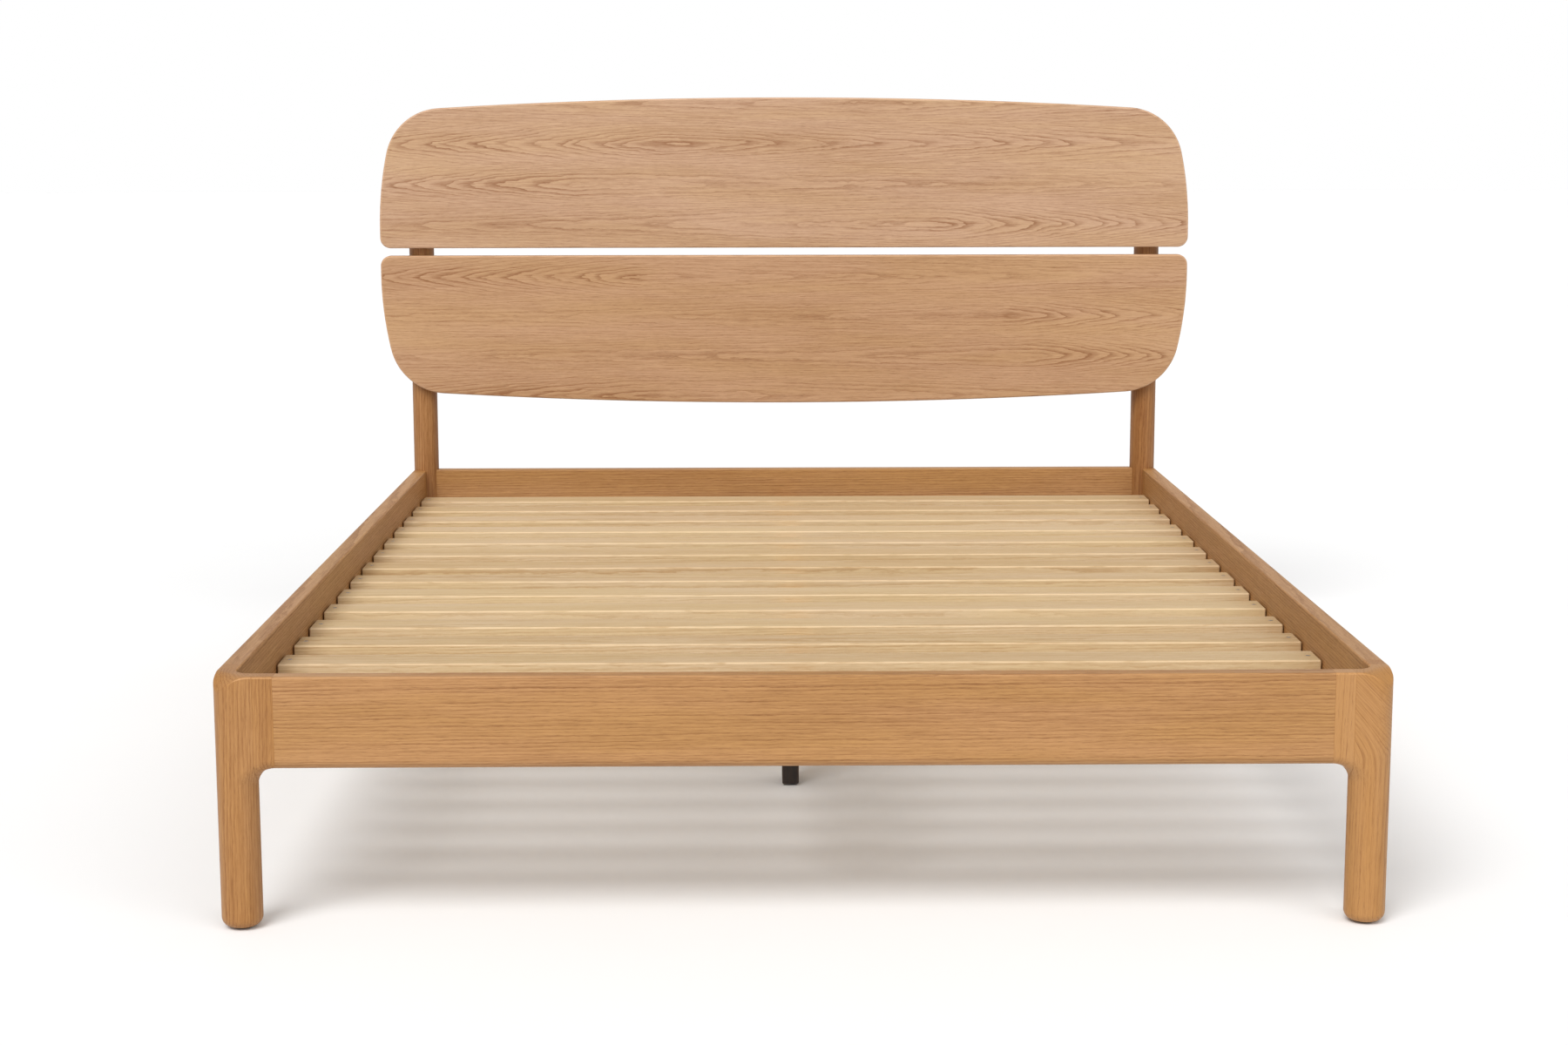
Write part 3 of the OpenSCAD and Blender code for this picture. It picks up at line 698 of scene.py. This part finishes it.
def underside(along, across, arm, back_ease=0.0):
    """Height of an arm's underside: a cove from the leg's round, at along = arm, to the rail's lower edge."""
    back = set_back(RAIL_T - across, back_ease)
    tall = COVE_R + set_back(across, LOWER_ROUND) + back
    wide = COVE_R + set_back(across, arm / 2) + back
    from_cove = np.maximum(arm + COVE_R - along, 0.0)
    return RAIL_BOTTOM - COVE_R + tall * np.sqrt(np.maximum(1 - (from_cove / wide) ** 2, 0.0))


def reach_of_circle(directions, start, centre, radius):
    """How far from start each ray goes to leave a circle that start lies in."""
    gap = start - centre
    along = directions @ gap
    return -along + np.sqrt(along ** 2 - gap @ gap + radius ** 2)


def on_shaft(ring, start, radius):
    """Where the rays from start to the ring's points leave the round shaft."""
    rays = ring - start
    rays /= np.linalg.norm(rays, axis=1)[:, None]
    return start + rays * reach_of_circle(rays, start, np.array([radius, radius]), radius)[:, None]


def turned_rings(plan, start, radius, levels):
    """Rings at the given heights of a round leg that opens into a block with the plan's outline.
    Each of its points lies on the ray from start to a point of the plan, and the search finds how far out."""
    rays = plan - start
    plan_reach = np.linalg.norm(rays, axis=1)
    directions = rays / plan_reach[:, None]
    axis = np.array([radius, radius])
    rings = []
    for z in levels:
        shaft = reach_of_circle(directions, start, axis, radius - set_back(z - PAD_T, LEG_FOOT_R))
        least, most = shaft, np.maximum(shaft, plan_reach)
        for _ in range(BISECTIONS):
            middle = (least + most) / 2
            at = start + directions * middle[:, None]
            inside = underside(at.max(axis=1), at.min(axis=1).clip(0.0, RAIL_T), 2 * radius) <= z
            least, most = np.where(inside, middle, least), np.where(inside, most, middle)
        reach = most if z > RAIL_BOTTOM - COVE_R else shaft
        ring = start + directions * reach[:, None]
        rings.append(at_height(ring, z))
    return rings


def foot_levels():
    """Heights of the rings from the rounded foot to where the leg starts to open."""
    turn = np.radians(np.linspace(0, 90, 9))
    foot = PAD_T + LEG_FOOT_R * (1 - np.cos(turn))
    shaft = np.linspace(PAD_T + LEG_FOOT_R, RAIL_BOTTOM - COVE_R, 8)[1:]
    return np.concatenate([foot, shaft])


def cove_levels():
    """Heights of the rings over the cove, up to where the rails' lower round ends."""
    return np.linspace(RAIL_BOTTOM - COVE_R, RAIL_BOTTOM + LOWER_ROUND, 40)[1:]


def leg_plan():
    """Outline of the block over a foot leg: two arms as thick as the rails, and the well's round corner."""
    r, t, d, w = LEG_D / 2, RAIL_T, LEG_D, WELL_CORNER_R
    return loop_of([
        arc((r, r), r, 180, 270, 30),
        [(d - SEAM, 0), (d, SEAM), (d, t - SEAM), (d - SEAM, t)],
        arc((t + w, t + w), w, 270, 180, 20),
        [(t, d - SEAM), (t - SEAM, d), (SEAM, d), (0, d - SEAM)],
    ], PLAN_SPACING)


def eased_rings(plan, edge, face, axes=(X, Y)):
    """Outlines and drops of a block's rounded top edge. Its glued faces, where an axis reaches `face`, stay
    flat, and only the last outline steps back from them, by the chamfer of a glue line."""
    into = inward(plan)
    rings = []
    for turn in np.radians(np.linspace(0, 90, ROUND_STEPS + 1)):
        inset = edge * (1 - math.cos(turn))
        ring = plan + into * inset[:, None]
        for axis in axes:
            glued = plan[:, axis] > face - 1.5 * SEAM
            along = plan[glued, 1 - axis]
            ring[glued, axis] = plan[glued, axis]
            ring[glued, 1 - axis] = inset[glued] + along * (1 - 2 * inset[glued] / RAIL_T)
        rings.append((ring, edge * (1 - math.sin(turn))))
    for axis in axes:
        ring[:, axis] = np.minimum(ring[:, axis], face - SEAM)
    return rings


def foot_leg(side):
    """A round leg with its square block, cut flat towards the wings and rolled over on top."""
    plan = leg_plan()
    start = np.array(LEG_CORE)
    over_cove = np.linspace(RAIL_BOTTOM + LOWER_ROUND + 0.006, LEDGER_TOP, 6)
    levels = np.concatenate([foot_levels(), cove_levels(), over_cove])
    rings = turned_rings(plan, start, LEG_D / 2, levels)
    rings.append(at_height(plan, LEDGER_TOP))
    edge = CREST + (EASE - CREST) * np.clip((plan.max(axis=1) - LEG_D / 2) / (LEG_D / 2), 0.0, 1.0)
    wall_top = top_height(*plan.T) - edge
    for share in (0.2, 0.4, 0.6, 0.8):
        rings.append(at_height(plan, LEDGER_TOP + (wall_top - LEDGER_TOP) * share))
    for rim, drop in eased_rings(plan, edge, LEG_D):
        rings.append(at_height(rim, top_height(*rim.T) - drop))
    for share in np.linspace(1, 0, 12)[1:-1]:
        inner = start + (rim - start) * share
        rings.append(at_height(inner, top_height(*inner.T)))
    return in_corner(loft(rings), side, False)


def post_plan():
    """Outline of a head post with the arm that meets its side wing."""
    r, t, d = POST_D / 2, RAIL_T, POST_D
    meet = math.degrees(math.acos((t - r) / r))
    return loop_of([
        arc((r, r), r, 180, 360 + meet, 90),
        [(t, d - SEAM), (t - SEAM, d), (SEAM, d), (0, d - SEAM)],
    ], PLAN_SPACING)


def panel_edge_height(x):
    """Height of the lower panel's curved edge at a distance x from the middle of the bed."""
    outline = panel_outline()
    curved = outline[(outline[:, 0] > 0) & (outline[:, 1] > END_RISE)]
    curved = curved[np.argsort(curved[:, 0])]
    return LOWER_TOP - np.interp(x, curved[:, 0], curved[:, 1])


def head_post(side):
    """A round post with an arm at the height of the rails."""
    plan = post_plan()
    start = np.array(POST_CORE)
    radius = POST_D / 2
    levels = np.concatenate([foot_levels(), cove_levels(), [LEDGER_TOP]])
    rings = turned_rings(plan, start, radius, levels)
    for rim, drop in eased_rings(plan, np.full(len(plan), EASE), POST_D, (Y,)):
        shaft = on_shaft(rim, start, radius)
        within = np.linalg.norm(rim - start, axis=1) < np.linalg.norm(shaft - start, axis=1)
        rings.append(at_height(np.where(within[:, None], shaft, rim), RAIL_TOP - drop))
    full = on_shaft(plan, start, radius)
    housed = np.column_stack([full[:, 0], np.minimum(full[:, 1], HEAD_Y - PANEL_HI.y)])
    panel_edge = panel_edge_height(SIDE_X - full[:, 0])
    heights = [
        (full, RAIL_TOP), (full, RAIL_TOP + 0.060), (full, panel_edge),
        (housed, panel_edge), (housed, LOWER_TOP), (full, LOWER_TOP),
        (full, PANEL_LO.z), (housed, PANEL_LO.z), (housed, POST_TOP - EASE),
    ]
    rings += [at_height(ring, level) for ring, level in heights]
    into = inward(housed)
    for turn in np.radians(np.linspace(0, 90, ROUND_STEPS + 1))[1:]:
        eased = housed + into * EASE * (1 - math.cos(turn))
        rings.append(at_height(eased, POST_TOP - EASE * (1 - math.sin(turn))))
    return in_corner(loft(rings), side, True)


def wing_underside(at, arm):
    """A wing block's lower edge at a distance along it, as (distance inwards, height) points."""
    share = np.clip((at - arm) / WING_L, 0.0, 1.0)
    ease = LEAST_ROUND + (EASE - LEAST_ROUND) * share ** 2 * (3 - 2 * share)
    wide, small = np.radians(np.linspace(0, 90, 13)), np.radians(np.linspace(0, 90, ROUND_STEPS + 1))
    across = np.concatenate([
        LOWER_ROUND * (1 - np.cos(wide)),
        np.linspace(LOWER_ROUND, RAIL_T - ease, 9)[1:-1],
        RAIL_T - ease + ease * np.sin(small),
    ])
    return np.column_stack([across, underside(at, across, arm, ease)])


def wing_topside():
    """A wing block's upper edge, from the inside out, as (distance inwards, drop) points."""
    t, e = RAIL_T, EASE
    small = np.radians(np.linspace(0, 90, ROUND_STEPS + 1))
    flat = np.linspace(t - e, e, 9)[1:-1]
    return np.concatenate([
        np.column_stack([t - e + e * np.cos(small), e - e * np.sin(small)]),
        np.column_stack([flat, np.zeros(len(flat))]),
        np.column_stack([e - e * np.sin(small), e - e * np.cos(small)]),
    ])


def ring_of(at, section, inset):
    """A wing's ring at a distance along it, drawn in by inset."""
    drawn = section + inset * inward(section)
    return np.column_stack([drawn[:, 0], np.full(len(drawn), at), drawn[:, 1]])


def wing_block(arm):
    """A wing block from its leg at y = arm to its rail, with the leg's cove below it. x runs inwards."""
    upper = wing_topside()
    sweep = arm + COVE_R * (1 - np.cos(np.radians(np.linspace(0, 90, 15))))
    sections = []
    for at in [*sweep, arm + WING_L]:
        lower = wing_underside(at, arm)
        under = lower[:, 1]
        over = RAIL_TOP - upper[:, 1]
        outer = np.linspace(over[-1], under[0], 6)[1:-1]
        inner = np.linspace(under[-1], over[0], 6)[1:-1]
        section = np.vstack([
            lower,
            np.column_stack([np.full(len(inner), RAIL_T), inner]),
            np.column_stack([upper[:, 0], over]),
            np.column_stack([np.zeros(len(outer)), outer]),
        ])
        sections.append((at, section))
    first, last = sections[0], sections[-1]
    rings = [ring_of(*first, SEAM)]
    rings += [ring_of(max(first[0] + SEAM, at), section, 0.0) for at, section in sections[:-1]]
    rings += [ring_of(last[0] - SEAM, last[1], 0.0), ring_of(*last, SEAM)]
    return loft(rings)


def build_corners():
    """Legs, posts and wing blocks, each with its own piece of timber."""
    for side, word in ((-1, "left"), (1, "right")):
        leg = finished(f"foot_leg_{word}", foot_leg(side), leg_oak)
        if word == "left":
            set_grain(leg, Z, (0.110, 0.030), slope=(0.02, 0.0), shift=0.3, tone=0.5)
        else:
            bend = (0.055, -1.1)
            set_grain(leg, Z, (-0.075, 0.020), slope=(0.01, 0.0), shift=1.9, tone=-0.55, sweep=bend)
        post = finished(f"head_post_{word}", head_post(side), leg_oak, post_cutters(side))
        # The posts' tone of 1.0 is painted shade: it darkens them as if the headboard over them shadowed
        # them.
        set_grain(post, Z, (side * 0.070, 0.050), slope=(0.01, 0.005), shift=4.0 + side, tone=1.0)
        for at_head, end in ((False, "foot"), (True, "head")):
            shape = in_corner(wing_block(POST_D if at_head else LEG_D), side, at_head)
            wing = finished(f"side_wing_{end}_{word}", shape, leg_oak)
            shift = 6.0 + side + 3 * at_head
            set_grain(wing, Z, (0.050, side * 0.100), slope=(0.02, 0.0), shift=shift, tone=0.2)
        points, faces = wing_block(LEG_D)
        shape = in_corner((points[:, [Y, X, Z]], faces), side, False)
        wing = finished(f"foot_wing_{word}", shape, leg_oak)
        set_grain(wing, Z, (side * 0.120, 0.040), slope=(0.03, 0.0), shift=12.0 + side, tone=-0.55 * side)


def post_cutters(side):
    """What a head post is cut for: the cross rail and the counterbores of the headboard's bolts."""
    shapes = [cross_rail_shape()]
    for points in solids("panel_bolts"):
        place = Fastener(points)
        if place.top[X] * side > 0:
            above = HEAD_Y - place.top[Y]
            rim = 0.0006
            shapes.append(place.lathe([
                (-above - SINK_DEPTH, SINK_R + rim), (-above, SINK_R + rim),
                (rim - above, SINK_R), (SINK_DEPTH - above, SINK_R),
            ]))
    return [raw_object(f"cutter_{i}", *shape) for i, shape in enumerate(shapes)]


# -------- rails

def rail_section(lower_round):
    """A rail's section, with its lower outer edge at the origin."""
    return rounded_rectangle(RAIL_T, RAIL_H, (lower_round, EASE, EASE, EASE))


def cross_rail_shape():
    """The rail between the head posts, which also cuts its housings into them."""
    low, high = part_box("head_cross_rail")
    origin = (low.x, high.y, low.z)
    return swept(rail_section(EASE), high.x - low.x, origin, (0, -1, 0), (1, 0, 0), (0, 0, 1))


def build_rails():
    """The four rails, each from its own tree."""
    low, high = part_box("foot_rail")
    shape = swept(rail_section(LOWER_ROUND), high.x - low.x, low, (0, 1, 0), (1, 0, 0), (0, 0, 1))
    piece = finished("foot_rail", shape, rail_oak)
    set_grain(piece, X, (0.050, -0.210), slope=(0.0, 0.006), shift=2.6)
    for side, word in ((-1, "left"), (1, "right")):
        low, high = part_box(f"side_rail_{word}")
        origin = (side * SIDE_X, low.y, low.z)
        shape = swept(rail_section(LOWER_ROUND), high.y - low.y, origin, (-side, 0, 0), (0, 1, 0), (0, 0, 1))
        piece = finished(f"side_rail_{word}", shape, rail_oak)
        set_grain(piece, Y, (side * -0.040, -0.180), slope=(0.004, 0.010), shift=5.1 + side)
    piece = finished("head_cross_rail", cross_rail_shape(), rail_oak)
    set_grain(piece, X, (0.060, 0.150), slope=(0.0, 0.008), shift=8.8)


# -------- slatted base

def board_shape(node, along, ease):
    """A sawn board that fills its CAD box, with all its edges eased."""
    low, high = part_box(node)
    size = high - low
    wide, tall = [axis for axis in (X, Y, Z) if axis != along]
    axes = np.eye(3)
    section = rounded_rectangle(size[wide], size[tall], (ease,) * 4)
    return swept(section, size[along], low, axes[wide], axes[along], axes[tall], ease, ROUND_STEPS)


SLAT_EASE = 0.003            # eased edges of the slats and the centre legs
LEDGER_EASE = 0.0015
BEAM_EASE = 0.002
SCREW_HEAD_H = 0.0025
SCREW_R = 0.002


def holes_within(node, places):
    """Cutters for the countersunk screws whose heads lie in a board's box."""
    low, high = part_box(node)
    reach = 0.001
    cutters = []
    for place in places:
        if all(low[axis] - reach < place.top[axis] < high[axis] + reach for axis in (X, Y, Z)):
            cutters.append(raw_object("cutter", *sink_hole(place, SCREW_HEAD_H, SCREW_R)))
    return cutters


def build_base():
    """Slats, ledgers, the centre beam and its legs. No two slats come from the same part of a tree."""
    slat_screws = [Fastener(points) for points in solids("slat_screws")]
    ledger_screws = [Fastener(points) for points in solids("ledger_screws")]
    slats = sorted(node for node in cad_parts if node.startswith("slat_") and node[5:].isdigit())
    for number, node in enumerate(slats, 1):
        holes = holes_within(node, slat_screws)
        piece = finished(node, board_shape(node, X, SLAT_EASE), pine, holes)
        lean = math.sin(2.4 * number)
        heart = (0.050 * lean, -0.030 - 0.02 * math.cos(1.7 * number))
        tone = 0.5 * math.sin(5.1 * number)
        set_grain(piece, X, heart, slope=(0.008 * lean, 0.012), shift=3.3 * number, tone=tone)
    for word in ("left", "right"):
        node = f"slat_ledger_{word}"
        holes = holes_within(node, ledger_screws)
        piece = finished(node, board_shape(node, Y, LEDGER_EASE), pine, holes)
        set_grain(piece, Y, (0.040, 0.060), slope=(0.004, 0.002), shift=60.0)
    piece = finished("centre_beam", board_shape("centre_beam", Y, BEAM_EASE), pine)
    set_grain(piece, Y, (0.030, 0.090), slope=(0.004, 0.002), shift=70.0)
    for node in ("centre_leg_front", "centre_leg_rear"):
        finished(node, board_shape(node, Z, SLAT_EASE), dark_stain)


# -------- bolts and screws

BOLT_R = 0.003
PANEL_BOLT_HEAD_H = 0.005
SMALL_BOLT_HEAD_H = 0.003


def build_fasteners():
    """Bolts and screws, each node's as one piece."""
    kinds = {
        "panel_bolts": (socket_bolt, PANEL_BOLT_HEAD_H, BOLT_R),
        "joint_bolts": (socket_bolt, SMALL_BOLT_HEAD_H, BOLT_R),
        "centre_leg_bolts": (socket_bolt, SMALL_BOLT_HEAD_H, BOLT_R),
        "slat_screws": (wood_screw, SCREW_HEAD_H, SCREW_R),
        "ledger_screws": (wood_screw, SCREW_HEAD_H, SCREW_R),
        "hanger_screws": (wood_screw, SCREW_HEAD_H, SCREW_R),
    }
    for node, (shape, head_h, shank_r) in kinds.items():
        parts = [shape(Fastener(points), head_h, shank_r) for points in solids(node)]
        finished(node, joined(parts), zinc)


# -------- what stays as packed

def dress_packed_nodes():
    """Materials and eased edges of the CAD nodes that stay: plates, nuts, pads and what the joints hold."""
    materials = {
        "joint_dowels": (beech, 0.0005), "joint_inserts": (brass, 0.0002), "panel_inserts": (brass, 0.0002),
        "beam_hanger_foot": (zinc, 0.0004), "beam_hanger_head": (zinc, 0.0004),
        "centre_leg_nuts": (zinc, 0.0005), "pad_centre_front": (felt_pad, 0.0008),
        "pad_centre_rear": (felt_pad, 0.0008),
    }
    for corner in ("foot_left", "foot_right", "head_left", "head_right"):
        materials["joint_plate_" + corner] = (zinc, 0.0005)
        materials["pad_" + corner] = (felt_pad, 0.0008)
    for node, (material, ease) in materials.items():
        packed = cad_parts[node]
        for place in packed.material_slots:
            place.material = material
        eased = packed.modifiers.new("eased_edges", "BEVEL")
        eased.width = ease
        eased.segments = 2
        eased.limit_method = "ANGLE"
        eased.angle_limit = math.radians(SHARP_TURN)


# -------- camera, lights and floor

CAMERA_BACK = 3.3432         # from the foot rail to the camera
CAMERA_X = -0.0713
CAMERA_Z = 1.0950
CAMERA_LENS = 57.64          # millimetres, and so is the sensor
CAMERA_SENSOR = 36.0
CAMERA_PITCH = 0.1556        # radians below the horizon
CAMERA_YAW = 0.0127          # radians to the right
CAMERA_ROLL = -0.0013


def build_camera():
    """A camera at the photo's angle."""
    data = bpy.data.cameras.new("camera")
    data.lens = CAMERA_LENS
    data.sensor_width = CAMERA_SENSOR
    camera = linked("camera", data)
    level = math.cos(CAMERA_PITCH)
    forward = Vector((math.sin(CAMERA_YAW) * level, math.cos(CAMERA_YAW) * level, -math.sin(CAMERA_PITCH)))
    right = Vector((math.cos(CAMERA_YAW), -math.sin(CAMERA_YAW), 0.0))
    up = right.cross(forward)
    roll_right = math.cos(CAMERA_ROLL) * right + math.sin(CAMERA_ROLL) * up
    roll_up = math.cos(CAMERA_ROLL) * up - math.sin(CAMERA_ROLL) * right
    turned = Matrix((roll_right, roll_up, -forward)).transposed().to_4x4()
    camera.matrix_world = Matrix.Translation((CAMERA_X, FOOT_Y - CAMERA_BACK, CAMERA_Z)) @ turned
    bpy.context.scene.camera = camera


def sun(name, azimuth, elevation, strength, softness):
    """A soft lamp. Angles are in degrees, and azimuth 0 is from the front, growing to the right."""
    data = bpy.data.lights.new(name, "SUN")
    data.energy = strength
    data.angle = math.radians(softness)
    light = linked(name, data)
    turn, rise = math.radians(azimuth), math.radians(elevation)
    towards = Vector((math.sin(turn) * math.cos(rise), -math.cos(turn) * math.cos(rise), math.sin(rise)))
    light.rotation_euler = towards.to_track_quat("Z", "Y").to_euler()


BACKDROP_LIGHT = 1.0         # behind the bed
ROOM_LIGHT = 0.55            # all round
OVERHEAD_LIGHT = 0.45
FLOOR_REACH = 40.0


def build_world():
    """White studio air: a bright backdrop behind the bed, softer all round and overhead."""
    world = bpy.data.worlds.new("studio")
    bpy.context.scene.world = world
    world.use_nodes = True
    air = Nodes(world.node_tree)
    background = air.tree.nodes["Background"]
    background.inputs["Color"].default_value = (1.0, 1.0, 1.0, 1.0)
    _, back, up = air.split(air.node("TexCoord", {}).outputs["Generated"])
    level = air.step(back, 0.70, 0.90, ROOM_LIGHT, BACKDROP_LIGHT)
    air.put(background.inputs["Strength"], air.step(up, 0.15, 0.55, level, OVERHEAD_LIGHT))


def build_studio():
    """Plain colours, the air, two soft lamps from either side of the camera, and the floor."""
    bpy.context.scene.view_settings.view_transform = "Standard"
    build_world()
    sun("key", azimuth=-28, elevation=48, strength=2.4, softness=35)
    sun("fill", azimuth=35, elevation=35, strength=0.9, softness=50)
    pale_floor()


def pale_floor():
    """A wide pale floor."""
    corners = [(x * FLOOR_REACH, y * FLOOR_REACH, 0) for x, y in ((-1, -1), (1, -1), (1, 1), (-1, 1))]
    floor = raw_object("floor", corners, [(0, 1, 2, 3)])
    f = Finish("pale_floor", Specular_IOR_Level=0.1)
    cloud = f.noise(f.stretch(f.place(), 2.0, 2.0, 2.0), 3.0)
    colour = f.mix(cloud, (0.86, 0.86, 0.86), (0.88, 0.88, 0.88))
    f.put(f.shader.inputs["Base Color"], colour)
    f.shader.inputs["Roughness"].default_value = 0.9
    floor.data.materials.append(f.material)
    return floor


# -------- everything together

build_camera()
build_panels()
build_corners()
build_rails()
build_base()
build_fasteners()
dress_packed_nodes()
build_studio()
